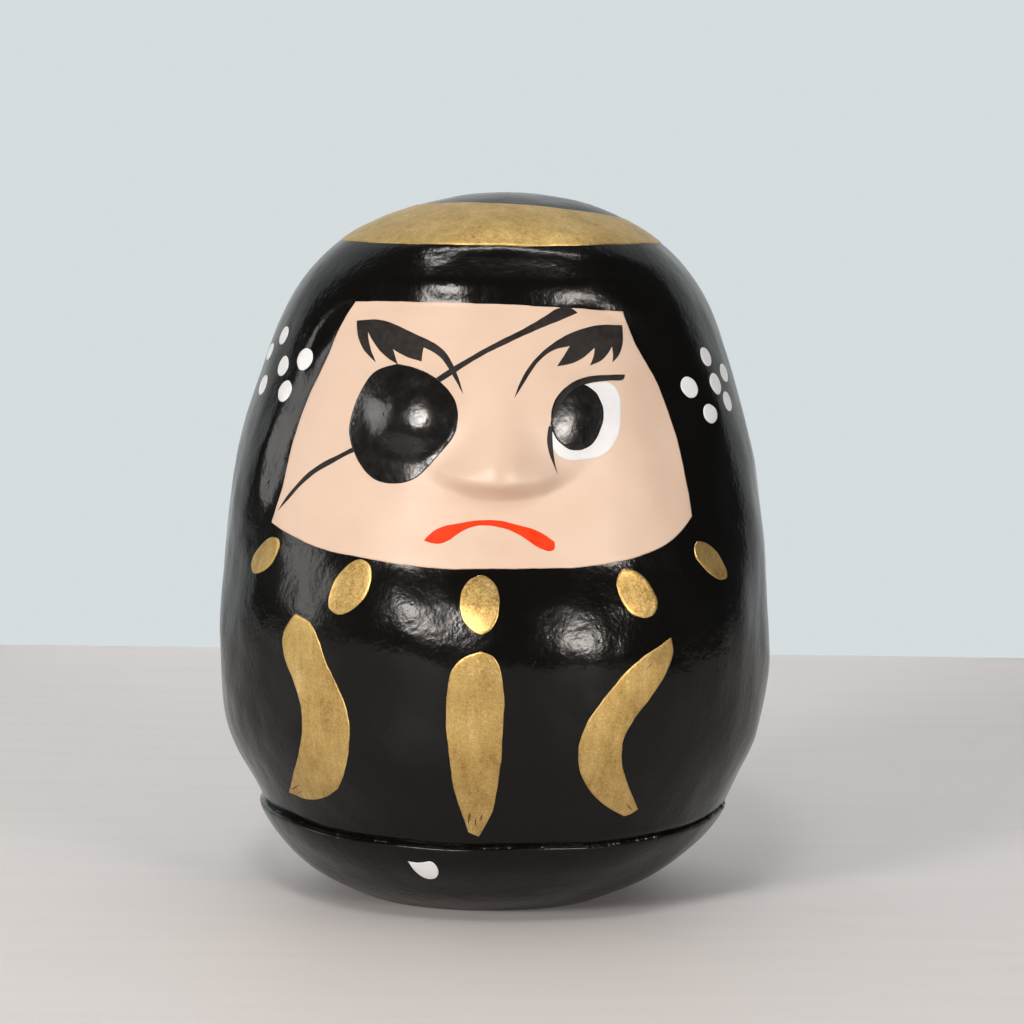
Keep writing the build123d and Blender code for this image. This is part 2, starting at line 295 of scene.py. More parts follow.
def egg_relief(p, turn, r):
    """The egg's lumps, its tuck at the seam, the parting down each side, an uneven crown, a
    bulge on the left, and what is moulded into the front."""
    z = p[:, 2]
    swell = lumps(p)
    tuck = -0.5 * (1 - ramp(z, SEAM_HEIGHT, SEAM_HEIGHT + 2.2))
    parting = -0.16 * bell((np.abs(turn) - np.pi / 2) * r, 0.9) * ramp(r, 2, 12)
    moved = p.copy()
    moved[:, :2] *= (1 + (swell + tuck + parting) / RADIUS)[:, None]
    near_crown = ramp(z, HEIGHT - 25, HEIGHT)
    knob = 0.9 * bell(np.hypot(p[:, 0] - 21, p[:, 1]), 14)
    dent = 0.6 * bell(np.hypot(p[:, 0] + 24, p[:, 1]), 10)
    moved[:, 2] += (0.5 * swell + knob - dent) * near_crown
    moved[:, 2] += seam_rise(turn) * (1 - ramp(z, SEAM_HEIGHT, SEAM_HEIGHT + 25))
    moved[:, 0] -= 0.9 * bell(z - 100, 16) * ramp(-np.sin(turn), 0.4, 0.9)
    moved[:, 1] -= front_relief(moved[:, 0], moved[:, 2]) * ramp(np.cos(turn), 0.0, 0.35)
    return moved


def dish_relief(p, turn, r):
    """The dish sits askew: it leans out to the left as it goes down."""
    z = p[:, 2]
    moved = p.copy()
    moved[:, :2] *= (1 + (lumps(p) + 0.4) * ramp(z, 0.5, 6) / RADIUS)[:, None]
    moved[:, 0] -= 0.5 + 1.5 * (1 - z / SEAM_HEIGHT)
    moved[:, 2] += seam_rise(turn) * ramp(z, 3, SEAM_HEIGHT)
    return moved


EGG_SKIN = Skin(EGG, (0.42, 1), (-1, 0), egg_relief)
DISH_SKIN = Skin(DISH, (1, 0.42), (0.45, 1), dish_relief)


# ---- meshes ----
def make_piece(name, points, faces, material, slot, *nodes):
    """A smooth-shaded mesh piece that rides on the doll and stands for CAD nodes."""
    mesh = bpy.data.meshes.new(name)
    mesh.from_pydata((np.asarray(points) * MM).tolist(), [], faces)
    edit = bmesh.new()
    edit.from_mesh(mesh)
    bmesh.ops.recalc_face_normals(edit, faces=edit.faces)
    edit.to_mesh(mesh)
    edit.free()
    mesh.polygons.foreach_set("use_smooth", [True] * len(mesh.polygons))
    mesh.materials.append(material)
    piece = bpy.data.objects.new(name, mesh)
    bpy.context.scene.collection.objects.link(piece)
    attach(piece, "root")
    if nodes:
        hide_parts(*nodes)
    return piece


def grid_faces(rows, columns, first=0):
    """Quads over a grid of points stored row by row, with one more point than cells."""
    faces = []
    for j in range(rows):
        for i in range(columns):
            a = first + j * (columns + 1) + i
            faces.append((a, a + 1, a + columns + 2, a + columns + 1))
    return faces


def ring_faces(rows, columns):
    """Quads between closed rings of points stored ring by ring, as (lower, upper) pairs of rings."""
    faces = []
    for low, high in rows:
        for i in range(columns):
            n = (i + 1) % columns
            faces.append((low * columns + i, low * columns + n, high * columns + n, high * columns + i))
    return faces


def rim_of(rows, columns, first, crown):
    """The edge of a half shell, from its bottom left round under it and up to the crown."""
    width = columns + 1
    bottom = [first + i for i in range(width)]
    right = [first + j * width + columns for j in range(1, rows + 1)]
    left = [first + j * width for j in range(rows, 0, -1)]
    return bottom + right + [crown] + left


def join_rims(outer, inner, columns, rows, coarse):
    """Faces between the fine and the coarse edge of a half shell."""
    wide, tall = columns // coarse, rows // coarse
    ahead = [coarse * k for k in range(wide + 1)]
    ahead += [columns + coarse * k for k in range(1, tall + 1)]
    crown = columns + rows + 1
    ahead.append(crown)
    ahead += [crown + 1 + coarse * k for k in range(tall)]
    ahead.append(len(outer))
    faces = []
    for k in range(len(inner)):
        strip = [outer[i % len(outer)] for i in range(ahead[k], ahead[k + 1] + 1)]
        faces.append([inner[(k + 1) % len(inner)], inner[k]] + strip)
    return faces


def shell_half(name, node, middle_turn, columns, rows, material):
    """Half of the paper egg: a fine outer skin, a coarser inner one, and the cut edge."""
    coarse = 4
    points, faces, rims = [], [], []
    first = 0
    for step, depth in ((1, 0.0), (coarse, WALL)):
        wide, tall = columns // step, rows // step
        turns = middle_turn + np.linspace(-np.pi / 2, np.pi / 2, wide + 1)
        runs = np.linspace(0, 1, tall + 2)[:-1]
        turn = np.tile(turns, tall + 1)
        run = np.repeat(runs, wide + 1)
        skin = EGG_SKIN.points(turn, run) - depth * EGG_SKIN.normals(turn, run)
        crown = EGG_SKIN.points(np.array([middle_turn]), np.array([1.0]))
        crown[0, :2] = 0
        crown[0, 2] -= depth
        points += [skin, crown]
        faces += grid_faces(tall, wide, first)
        tip = first + len(skin)
        top = first + tall * (wide + 1)
        for i in range(wide):
            faces.append((top + i, top + i + 1, tip))
        rims.append(rim_of(tall, wide, first, tip))
        first = tip + 1
    faces += join_rims(rims[0], rims[1], columns, rows, coarse)
    return make_piece(name, np.vstack(points), faces, material, "black_paper", node)


# ---- painted marks ----
def outline_of(mark, spacing, wobble, seed):
    """The closed outline of a mark, in steps of about spacing, drawn by a slightly unsteady
    hand.  A mark is a list of strokes laid end to end, or an oval."""
    if isinstance(mark, dict):
        half_wide, half_tall = mark["half"]
        count = int(2 * np.pi * max(half_wide, half_tall) / spacing)
        a = np.linspace(0, 2 * np.pi, count, endpoint=False)
        lean = math.radians(mark["lean"])
        x, z = half_wide * np.cos(a), half_tall * np.sin(a)
        leaning_x = x * math.cos(lean) - z * math.sin(lean)
        leaning_z = x * math.sin(lean) + z * math.cos(lean)
        loop = np.stack([leaning_x, leaning_z], 1) + mark["at"]
    else:
        runs = []
        for stroke in mark:
            reach = np.linalg.norm(np.diff(np.array(stroke, float), axis=0), axis=1).sum()
            count = max(3, int(reach / spacing) + 1)
            runs.append(natural_curve(stroke, count)[:-1])
        loop = np.vstack(runs)
    along = np.linspace(0, 2 * np.pi, len(loop), endpoint=False)
    hand = np.random.RandomState(seed)
    reach = np.linalg.norm(np.diff(loop, axis=0), axis=1).sum()
    shift = np.zeros((len(loop), 2))
    for wavelength in (14, 6.5, 3.1):
        turns = max(1, round(reach / wavelength))
        for axis in range(2):
            shift[:, axis] += np.sin(turns * along + hand.uniform(0, 2 * np.pi)) * wavelength / 14
    return loop + wobble * shift


def inside_outline(points, loop):
    """Which points lie inside a closed outline."""
    x, z = points[:, 0], points[:, 1]
    inside = np.zeros(len(points), bool)
    for (x0, z0), (x1, z1) in zip(loop, np.roll(loop, -1, axis=0)):
        crosses = (z0 > z) != (z1 > z)
        where = (x1 - x0) * (z - z0) / (z1 - z0 if z1 != z0 else 1) + x0
        inside ^= crosses & (x < where)
    return inside


def edge_distance(points, loop):
    """Distance from each point to a closed outline."""
    nearest = np.full(len(points), np.inf)
    for start, end in zip(loop, np.roll(loop, -1, axis=0)):
        span = end - start
        u = np.clip((points - start) @ span / max(span @ span, 1e-12), 0, 1)
        gap = points - start - u[:, None] * span
        nearest = np.minimum(nearest, np.hypot(gap[:, 0], gap[:, 1]))
    return nearest


def fill(loop, spacing, shoulder):
    """Points and triangles that fill an outline, with two rings of points near its edge."""
    low, high = loop.min(0), loop.max(0)
    row_step = 0.866 * spacing      # rows of even triangles
    gx, gz = np.meshgrid(np.arange(low[0], high[0], spacing), np.arange(low[1], high[1], row_step))
    gx[1::2] += spacing / 2
    middle = np.stack([gx.ravel(), gz.ravel()], 1)
    middle = middle[inside_outline(middle, loop)]
    middle = middle[edge_distance(middle, loop) > shoulder + 0.4 * spacing]
    tangent = np.roll(loop, -1, axis=0) - np.roll(loop, 1, axis=0)
    normal = np.stack([-tangent[:, 1], tangent[:, 0]], 1)
    normal /= np.maximum(np.linalg.norm(normal, axis=1), 1e-9)[:, None]
    rings = []
    for inset in (0.35 * shoulder, shoulder):
        for side in (1, -1):
            ring = loop + side * inset * normal
            ring = ring[inside_outline(ring, loop)]
            rings.append(ring[edge_distance(ring, loop) > 0.85 * inset])
    loose = np.vstack([middle, *rings])
    count = len(loop)
    edges = [(i, (i + 1) % count) for i in range(count)]
    flat = [Vector(p) for p in np.vstack([loop, loose])]
    points, _, triangles, *_ = delaunay_2d_cdt(flat, edges, [], 1, 1e-6)
    return np.array([tuple(p) for p in points]), [tuple(t) for t in triangles]


def boundary_of(triangles):
    """Directed edges that belong to one triangle only."""
    edges = {(t[i], t[(i + 1) % 3]) for t in triangles for i in range(3)}
    return [e for e in edges if (e[1], e[0]) not in edges]


def coat_piece(name, flat, triangles, distance, place, foot, top, shoulder, material, slot, nodes):
    """A thin closed coat: flat points put on the doll, thick in the middle, with a slightly
    raised lip where the paint drew back, and thin at its edge."""
    rise = np.sqrt(1 - (1 - np.clip(distance / shoulder, 0, 1)) ** 2)
    lip = 0.25 * bell(distance - 1.3 * shoulder, shoulder)
    height = foot + (top - foot) * (0.15 + 0.85 * rise) * (1 + lip)
    on_skin, normal = place(flat)
    upper = on_skin + normal * height[:, None]
    lower = on_skin + normal * (foot - SINK)
    count = len(flat)
    faces = list(triangles) + [(a + count, c + count, b + count) for a, b, c in triangles]
    faces += [(a, a + count, b + count, b) for a, b in boundary_of(triangles)]
    return make_piece(name, np.vstack([upper, lower]), faces, material, slot, *nodes)


def front_of(skin):
    """Places flat (x, z) points on the front of a skin."""

    def place(flat):
        turn, run = skin.seen_from_front(flat[:, 0], flat[:, 1])
        return skin.points(turn, run), skin.normals(turn, run)

    return place


def crown_of(skin):
    """Places flat (across, away) points on the crown, as seen from straight above."""

    def place(flat):
        turn = np.arctan2(flat[:, 0], -flat[:, 1])
        run = skin.run_at_radius(np.hypot(flat[:, 0], flat[:, 1]))
        return skin.points(turn, run), skin.normals(turn, run)

    return place


def side_of(skin, turn_degrees, height):
    """Places flat (along, up) points round a place on the side of a skin."""

    def place(flat):
        run = skin.run_at(height) + flat[:, 1] / skin.length
        turn = math.radians(turn_degrees) + flat[:, 0] / skin.at(run)[0]
        return skin.points(turn, run), skin.normals(turn, run)

    return place


def paint(name, mark, material, slot, nodes=(), under=CLEAR, thick=MARK_COAT, spacing=0.6,
          shoulder=0.22, wobble=0.05, seed=1, place=None):
    """Paints a mark: under is the height of what it lies on, over the skin."""
    loop = outline_of(mark, EDGE_STEP, wobble, seed)
    flat, triangles = fill(loop, spacing, shoulder)
    distance = edge_distance(flat, loop)
    return coat_piece(name, flat, triangles, distance, place or front_of(EGG_SKIN), under,
                      under + thick, shoulder, material, slot, nodes)


# ---- materials ----
class Nodes:
    """A new material's node tree, with short calls for the nodes used here."""

    def __init__(self, name):
        self.material = bpy.data.materials.new(name)
        self.material.use_nodes = True
        self.tree = self.material.node_tree
        self.shader = self.tree.nodes["Principled BSDF"]
        self.place = self.add("ShaderNodeTexCoord").outputs["Object"]

    def add(self, kind, **settings):
        """A new node with the given settings."""
        node = self.tree.nodes.new(kind)
        for key, value in settings.items():
            setattr(node, key, value)
        return node

    def link(self, source, socket):
        """Feeds a socket from a node's output."""
        self.tree.links.new(source, socket)

    def stretched(self, scale):
        """Object coordinates, stretched: a small scale makes long streaks that way."""
        node = self.add("ShaderNodeMapping")
        node.inputs["Scale"].default_value = scale
        self.link(self.place, node.inputs["Vector"])
        return node.outputs["Vector"]

    def noise(self, size_mm, detail=3.0, rough=0.5, vector=None):
        """Soft noise whose blobs are about size_mm across."""
        node = self.add("ShaderNodeTexNoise")
        node.inputs["Scale"].default_value = 1 / (size_mm * MM)
        node.inputs["Detail"].default_value = detail
        node.inputs["Roughness"].default_value = rough
        self.link(vector or self.place, node.inputs["Vector"])
        return node.outputs["Fac"]

    def cells(self, size_mm):
        """Distance to the nearest of scattered specks, about size_mm apart."""
        node = self.add("ShaderNodeTexVoronoi")
        node.inputs["Scale"].default_value = 1 / (size_mm * MM)
        self.link(self.place, node.inputs["Vector"])
        return node.outputs["Distance"]

    def spread(self, value, low, high, to_low, to_high):
        """Maps a value from one range onto another, held at both ends."""
        node = self.add("ShaderNodeMapRange", clamp=True)
        self.link(value, node.inputs["Value"])
        ends = {"From Min": low, "From Max": high, "To Min": to_low, "To Max": to_high}
        for key, number in ends.items():
            node.inputs[key].default_value = number
        return node.outputs["Result"]

    def both(self, first, second, operation="MULTIPLY"):
        """Arithmetic on two values, each a socket or a number."""
        node = self.add("ShaderNodeMath", operation=operation)
        for value, socket in ((first, node.inputs[0]), (second, node.inputs[1])):
            if isinstance(value, (int, float)):
                socket.default_value = value
            else:
                self.link(value, socket)
        return node.outputs["Value"]

    def colours(self, value, *stops):
        """A colour ramp: stops are (place, (r, g, b))."""
        node = self.add("ShaderNodeValToRGB")
        ramp_stops = node.color_ramp.elements
        while len(ramp_stops) < len(stops):
            ramp_stops.new(0.5)
        for stop, (where, colour) in zip(ramp_stops, stops):
            stop.position = where
            stop.color = (*colour, 1)
        self.link(value, node.inputs["Fac"])
        return node.outputs["Color"]

    def bumps(self, *layers):
        """Bump from (height, depth in millimetres) layers, one on another."""
        normal = None
        for height, depth in layers:
            node = self.add("ShaderNodeBump")
            node.inputs["Strength"].default_value = 1
            node.inputs["Distance"].default_value = depth * MM
            self.link(height, node.inputs["Height"])
            if normal is not None:
                self.link(normal, node.inputs["Normal"])
            normal = node.outputs["Normal"]
        self.link(normal, self.shader.inputs["Normal"])

    def set(self, **values):
        """Sets or links the shader's sockets, and gives back the finished material."""
        for key, value in values.items():
            socket = self.shader.inputs[key.replace("_", " ")]
            if isinstance(value, bpy.types.NodeSocket):
                self.link(value, socket)
            else:
                socket.default_value = value
        return self.material


def black_paint():
    """Semi-gloss black brushed on paper: soft lumps, orange peel, pits and a little dust."""
    n = Nodes("black_gloss_paint")
    smudges = n.noise(16, 4, 0.6)
    pits = n.spread(n.cells(3.4), 0.0, 0.15, 0, 1)
    dust = n.spread(n.cells(3.1), 0.0, 0.04, 1, 0)
    colour = n.colours(dust, (0.0, (0.0040, 0.0037, 0.0032)), (1.0, (0.07, 0.065, 0.06)))
    n.bumps((n.noise(6, 3, 0.6), 0.20), (n.noise(1.6, 3, 0.65), 0.06), (pits, 0.04))
    return n.set(Base_Color=colour, Roughness=n.spread(smudges, 0.35, 0.7, 0.15, 0.24),
                 Specular_IOR_Level=0.22)


def black_gloss():
    """Thick glossy black of the eye patch and the pupil."""
    n = Nodes("black_eye_paint")
    drag = n.noise(2.5, 3, 0.6)
    pits = n.spread(n.cells(3.6), 0.0, 0.13, 0, 1)
    n.bumps((n.noise(3.2, 2), 0.10), (n.noise(1.0, 2), 0.04), (pits, 0.06))
    colour = n.colours(drag, (0.3, (0.006, 0.0058, 0.0055)), (0.75, (0.011, 0.010, 0.009)))
    return n.set(Base_Color=colour, Roughness=n.spread(drag, 0.3, 0.75, 0.18, 0.28),
                 Specular_IOR_Level=0.42)


def brush_ink():
    """Thin brownish black of the strap, the brows and the lids, with brush drag."""
    n = Nodes("brush_ink")
    drag = n.noise(1.8, 4, 0.65)
    colour = n.colours(drag, (0.35, (0.010, 0.0075, 0.0065)), (0.72, (0.030, 0.023, 0.020)))
    return n.set(Base_Color=colour, Roughness=n.spread(drag, 0.3, 0.75, 0.45, 0.6),
                 Specular_IOR_Level=0.18)


def flesh_paint():
    """Satin flesh paint with a faint mottle and brushed grain."""
    n = Nodes("flesh_paint")
    mottle = n.noise(14, 4, 0.55)
    colour = n.colours(mottle, (0.3, (0.79, 0.57, 0.425)), (0.7, (0.83, 0.61, 0.465)))
    n.bumps((n.noise(5, 2), 0.06), (n.noise(0.8, 3, 0.6), 0.010))
    return n.set(Base_Color=colour, Roughness=n.spread(mottle, 0.3, 0.7, 0.42, 0.55),
                 Subsurface_Weight=0.04, Subsurface_Radius=(0.001, 0.0006, 0.0004))


def gold_paint():
    """Brushed-on metallic gold: fine flakes, worn patches and streaks down the stroke."""
    n = Nodes("gold_paint")
    flakes = n.noise(0.5, 2, 0.7)
    streaks = n.noise(1.8, 3, 0.6, vector=n.stretched((1, 1, 0.15)))
    patches = n.noise(8, 3, 0.6)
    tone = n.both(n.both(flakes, 0.6), n.both(streaks, 0.4), "ADD")
    tone = n.both(tone, n.spread(patches, 0.35, 0.65, -0.08, 0.07), "ADD")
    colour = n.colours(tone, (0.28, (0.30, 0.175, 0.045)), (0.42, (0.48, 0.315, 0.10)),
                       (0.58, (0.60, 0.41, 0.145)), (0.78, (0.80, 0.62, 0.29)))
    n.bumps((n.noise(1.6, 2), 0.03), (flakes, 0.02))
    return n.set(Base_Color=colour, Metallic=0.72, Roughness=n.spread(flakes, 0.35, 0.65, 0.32, 0.46))


def worn_gold():
    """Dark dry gold where the bristles left gaps."""
    n = Nodes("worn_gold")
    colour = n.colours(n.noise(0.8, 3, 0.6), (0.35, (0.06, 0.04, 0.015)), (0.7, (0.22, 0.14, 0.05)))
    return n.set(Base_Color=colour, Roughness=n.spread(n.noise(1), 0.3, 0.7, 0.55, 0.7))


def white_paint():
    """Chalky white of the dots and the open eye."""
    n = Nodes("white_paint")
    mottle = n.noise(3, 3, 0.5)
    colour = n.colours(mottle, (0.3, (0.86, 0.86, 0.87)), (0.7, (0.92, 0.92, 0.92)))
    n.bumps((n.noise(1.6, 2), 0.03))
    return n.set(Base_Color=colour, Roughness=n.spread(mottle, 0.3, 0.7, 0.38, 0.5))


def red_paint():
    """Flat orange-red of the mouth."""
    n = Nodes("red_paint")
    mottle = n.noise(3, 3, 0.5)
    colour = n.colours(mottle, (0.3, (0.88, 0.040, 0.003)), (0.7, (0.95, 0.060, 0.006)))
    n.bumps((n.noise(1.5, 2), 0.015))
    return n.set(Base_Color=colour, Roughness=n.spread(mottle, 0.3, 0.7, 0.42, 0.52),
                 Specular_IOR_Level=0.1)


def bare_paper():
    """Fibrous brown paper of the strip inside."""
    n = Nodes("bare_paper")
    fibres = n.noise(0.8, 4, 0.7)
    colour = n.colours(fibres, (0.3, (0.52, 0.46, 0.36)), (0.7, (0.68, 0.62, 0.51)))
    n.bumps((fibres, 0.08))
    return n.set(Base_Color=colour, Roughness=n.spread(fibres, 0.3, 0.7, 0.8, 0.95))


def dry_clay():
    """Gritty clay of the weight."""
    n = Nodes("dry_clay")
    grit = n.noise(1.1, 5, 0.7)
    colour = n.colours(grit, (0.3, (0.30, 0.22, 0.15)), (0.7, (0.44, 0.34, 0.24)))
    n.bumps((grit, 0.15))
    return n.set(Base_Color=colour, Roughness=n.spread(grit, 0.3, 0.7, 0.85, 0.97))


def pale_floor():
    """Plain pale floor with the faintest grain."""
    n = Nodes("pale_floor")
    grain = n.noise(9, 5, 0.65, vector=n.stretched((0.12, 1, 1)))
    colour = n.colours(grain, (0.3, (0.88, 0.84, 0.83)), (0.7, (0.85, 0.81, 0.80)))
    return n.set(Base_Color=colour, Roughness=n.spread(grain, 0.3, 0.7, 0.5, 0.62))


def pale_card():
    """Matt pale card."""
    n = Nodes("pale_card")
    return n.set(Base_Color=(0.75, 0.82, 0.86, 1), Roughness=0.85)


def pale_glow():
    """An even pale surround that gives out its own light."""
    n = Nodes("pale_glow")
    return n.set(Base_Color=(0, 0, 0, 1), Emission_Color=(0.67, 0.72, 0.74, 1), Emission_Strength=1.0,
                 Specular_IOR_Level=0.0, Roughness=1.0)


BLACK = black_paint()
GLOSS = black_gloss()
INK = brush_ink()
FLESH = flesh_paint()
GOLD = gold_paint()
WORN = worn_gold()
WHITE = white_paint()
RED = red_paint()

# ---- the egg, the dish and the glue between them ----
FINE = 1
shell_half("egg_front", "shell_front", 0.0, int(320 * FINE), int(288 * FINE), BLACK)
shell_half("egg_back", "shell_back", math.pi, int(160 * FINE), int(144 * FINE), BLACK)


def dish():
    """The bowl under the egg, closed by a flat foot.  The loop goes up the outside, over the
    rounded rim and down the inside, as (run, depth under the skin)."""
    columns = int(360 * FINE)
    loop = [(run, 0.0) for run in np.linspace(0.0, 0.97, 60)]
    loop += [(0.985, 0.02), (0.995, 0.12), (1.0, 0.35), (1.0, DISH_WALL)]
    loop += [(run, DISH_WALL) for run in np.linspace(0.9, 0.3, 12)]
    turns = np.linspace(0, 2 * np.pi, columns, endpoint=False)
    rings = []
    for run, depth in loop:
        row = np.full(columns, run)
        rings.append(DISH_SKIN.points(turns, row) - depth * DISH_SKIN.normals(turns, row))
    points = np.vstack(rings + [[[0, 0, WALL], [0, 0, 0]]])
    faces = ring_faces([(j, j + 1) for j in range(len(loop) - 1)], columns)
    last = (len(loop) - 1) * columns
    middle = len(loop) * columns
    for i in range(columns):
        n = (i + 1) % columns
        faces.append((last + i, last + n, middle))
        faces.append((n, i, middle + 1))
    return make_piece("weighted_dish", points, faces, BLACK, "black_dish", "base_dish")


dish()


def glue_ring():
    """Glue squeezed out along the seam: a thin bead that swells and thins as it goes round."""
    columns, sides = int(1400 * FINE), 8
    outward, upward = 0.45, 0.1         # from the seam to the middle of the bead
    turns = np.linspace(0, 2 * np.pi, columns, endpoint=False)
    hand = np.random.RandomState(5)
    swell = np.zeros(columns)
    for wavelength in (31, 13, 6, 2.6, 1.3):
        waves = round(2 * np.pi * SEAM_RADIUS / wavelength)
        swell += np.sin(waves * turns + hand.uniform(0, 2 * np.pi)) * hand.uniform(0.6, 1)
    thick = 0.34 + 0.13 * np.clip(swell, -1.7, 2.4)
    middle = EGG_SKIN.points(turns, np.zeros(columns))
    middle[:, :2] *= 1 + outward / SEAM_RADIUS
    middle[:, 2] += upward
    out = np.stack([np.sin(turns), -np.cos(turns), np.zeros(columns)], 1)
    points = []
    for k in range(sides):
        a = 2 * math.pi * k / sides
        ring = middle + out * (thick * math.cos(a))[:, None]
        ring[:, 2] += thick * math.sin(a)
        points.append(ring)
    faces = ring_faces([(k, (k + 1) % sides) for k in range(sides)], columns)
    return make_piece("seam_glue", np.vstack(points), faces, GLOSS, "glue", "glue_bead")


glue_ring()

# ---- outlines of the marks, seen from the front as (x, z); strokes are laid end to end ----
FACE = [
    [(-32.3, 140.5), (-15, 140.9), (8, 140.4), (27.7, 139.2)],
    [(27.7, 139.2), (29.8, 133.6), (34, 126.2), (38.6, 115.9), (41.6, 105.7), (43.9, 93.5)],
    [(43.9, 93.5), (39.8, 89), (33.3, 85.9), (23.7, 83.9), (5, 83.2), (-16, 83.1), (-28, 84.3),
     (-39, 85.7), (-45.5, 87.6), (-50.9, 90.1)],
    [(-50.9, 90.1), (-48.3, 99), (-46.2, 108.4), (-41.8, 120.8), (-37.6, 130.1), (-35.6, 135),
     (-32.3, 140.5)],
]
# The gold band goes round the front of the crown: an arc outside and part of an oval inside,
# seen from above as (across, away from the viewer).
BROW_TURNS = np.radians(np.linspace(96, -96, 13))
BROW_RADIUS = 37.6
BROW_OUTER = [(BROW_RADIUS * math.sin(a), -BROW_RADIUS * math.cos(a)) for a in BROW_TURNS]
BROW_INNER = [(5 + 24.5 * math.sin(a), -19 * math.cos(a)) for a in BROW_TURNS[::-1]]
BROW_BAND = [
    BROW_OUTER,
    [BROW_OUTER[-1], (-34.6, 8.4), (-25.4, 8.0), BROW_INNER[0]],
    BROW_INNER,
    [BROW_INNER[-1], (31.6, 6.0), (35.6, 6.6), BROW_OUTER[0]],
]
EYE_PATCH = [
    [(-22.5, 127.1), (-16.5, 125.8), (-11.4, 122.3), (-8.8, 117.4), (-9.2, 113), (-12.4, 108.2),
     (-17.0, 103.2), (-22.3, 101), (-27.4, 101.9), (-30.9, 105.6), (-32.8, 110.3), (-32.5, 115.7),
     (-30.1, 121.6), (-26.8, 125.6), (-22.5, 127.1)],
]
STRAP_LOWER = [
    [(-49.6, 92.4), (-45.3, 97.6), (-40.4, 102.2), (-31, 107.8)],
    [(-31, 107.8), (-31.3, 108.8)],
    [(-31.3, 108.8), (-40.8, 103.2), (-45.8, 98.3), (-49.6, 92.4)],
]
STRAP_UPPER = [
    [(-13.4, 123.1), (-9.6, 125.6), (-2.6, 129.9), (5, 133.6), (17.5, 138.9)],
    [(17.5, 138.9), (15.5, 140.2), (12.5, 139.6)],
    [(12.5, 139.6), (4, 134.6), (-3, 131), (-10.2, 126.7), (-14, 124.2)],
    [(-14, 124.2), (-13.4, 123.1)],
]
BROW_OVER_PATCH = [
    [(-31.9, 136.2), (-25.7, 136.4), (-21.1, 134.9), (-16.4, 132.9), (-12.1, 130.3), (-9.5, 126.3),
     (-7.7, 120.9)],
    [(-7.7, 120.9), (-10.3, 125.3), (-13, 129), (-16.6, 130.9)],
    [(-16.6, 130.9), (-16.9, 129.6), (-17, 127.8)],
    [(-17, 127.8), (-19.5, 128.4), (-23.4, 130.3)],
    [(-23.4, 130.3), (-22.9, 128.8), (-22.3, 127)],
    [(-22.3, 127), (-25.5, 128.9), (-29.2, 133.8)],
    [(-29.2, 133.8), (-28.6, 130.5), (-27.3, 127.2)],
    [(-27.3, 127.2), (-30.2, 130), (-31.6, 133.5), (-31.9, 136.2)],
]
BROW_OVER_EYE = [
    [(3.5, 120.2), (5.0, 124), (7.4, 128), (11.2, 131.6), (16.2, 134.6), (21, 136), (27.5, 136.1)],
    [(27.5, 136.1), (27.7, 133.2), (26.6, 129.4), (25.2, 127.9)],
    [(25.2, 127.9), (25.4, 129.6), (25.2, 131.4)],
    [(25.2, 131.4), (23.4, 128.9), (20.2, 127.4)],
    [(20.2, 127.4), (20.9, 129), (21.2, 131.2)],
    [(21.2, 131.2), (17.5, 128.3), (13, 127.3)],
    [(13, 127.3), (14.2, 129.2), (15.7, 131.6)],
    [(15.7, 131.6), (12, 130.6), (8.6, 127.9), (5.2, 122.8), (3.5, 120.2)],
]
PUPIL = {"at": (17.5, 116.2), "half": (5.9, 7.2), "lean": 0}
EYE_WHITE = [
    [(11.8, 114.5), (15.5, 123), (19.7, 123.5), (25.0, 123.4), (26.9, 120.9), (27.4, 117.4),
     (26.7, 111.8), (23.4, 107.7), (19.8, 106.9), (13.4, 107.9), (11.6, 111), (11.8, 114.5)],
]
UPPER_LID = [
    [(11.5, 114.4), (12.3, 118.5), (14.3, 122), (17.6, 124.4), (22.6, 125.2), (28.2, 125.2)],
    [(28.2, 125.2), (28, 124.5), (25.6, 124.1)],
    [(25.6, 124.1), (20.6, 123.6), (16.6, 122), (13.4, 118.2), (11.5, 114.4)],
]
LOWER_LID = [
    [(11.3, 114.4), (10.9, 111.5), (11.4, 108.2), (13.2, 104)],
    [(13.2, 104), (12.4, 107.8), (12.0, 111.6), (12.1, 114.3)],
    [(12.1, 114.3), (11.3, 114.4)],
]
MOUTH = [
    [(-15.9, 88.9), (-14.2, 90.7), (-9.5, 92.7), (-3.2, 93.6), (1.2, 93.5), (4.8, 92.7), (9.6, 91.1),
     (12.9, 89)],
    [(12.9, 89), (12.8, 87.4), (11.6, 87)],
    [(11.6, 87), (9.3, 87.8), (5.9, 90), (1.0, 92.1), (-3.1, 92.5), (-7.0, 91.4), (-9.9, 89.4)],
    [(-9.9, 89.4), (-12.8, 88.4), (-15.9, 88.9)],
]
COLLAR_OVALS = [
    {"at": (-52.4, 82.6), "half": (2.2, 5.2), "lean": -35},
    {"at": (-32.3, 77.9), "half": (3.7, 6.9), "lean": -33},
    {"at": (-3.3, 75.6), "half": (4.4, 6.2), "lean": 0},
    {"at": (31.3, 77.4), "half": (3.6, 6.1), "lean": 35},
    {"at": (48.4, 83.4), "half": (2.2, 5.6), "lean": 40},
]
STROKE_LEFT = [
    [(-44.7, 70.8), (-47.3, 67), (-47.3, 61), (-44.6, 54), (-43.0, 48), (-43.6, 40.6), (-46.6, 27.9)],
    [(-46.6, 27.9), (-42.5, 27.4), (-38.8, 28.3), (-34.8, 31.4)],
    [(-34.8, 31.4), (-32.6, 38.6), (-32.3, 48.2), (-34.4, 55), (-38, 62), (-41.5, 69.5), (-44.7, 70.8)],
]
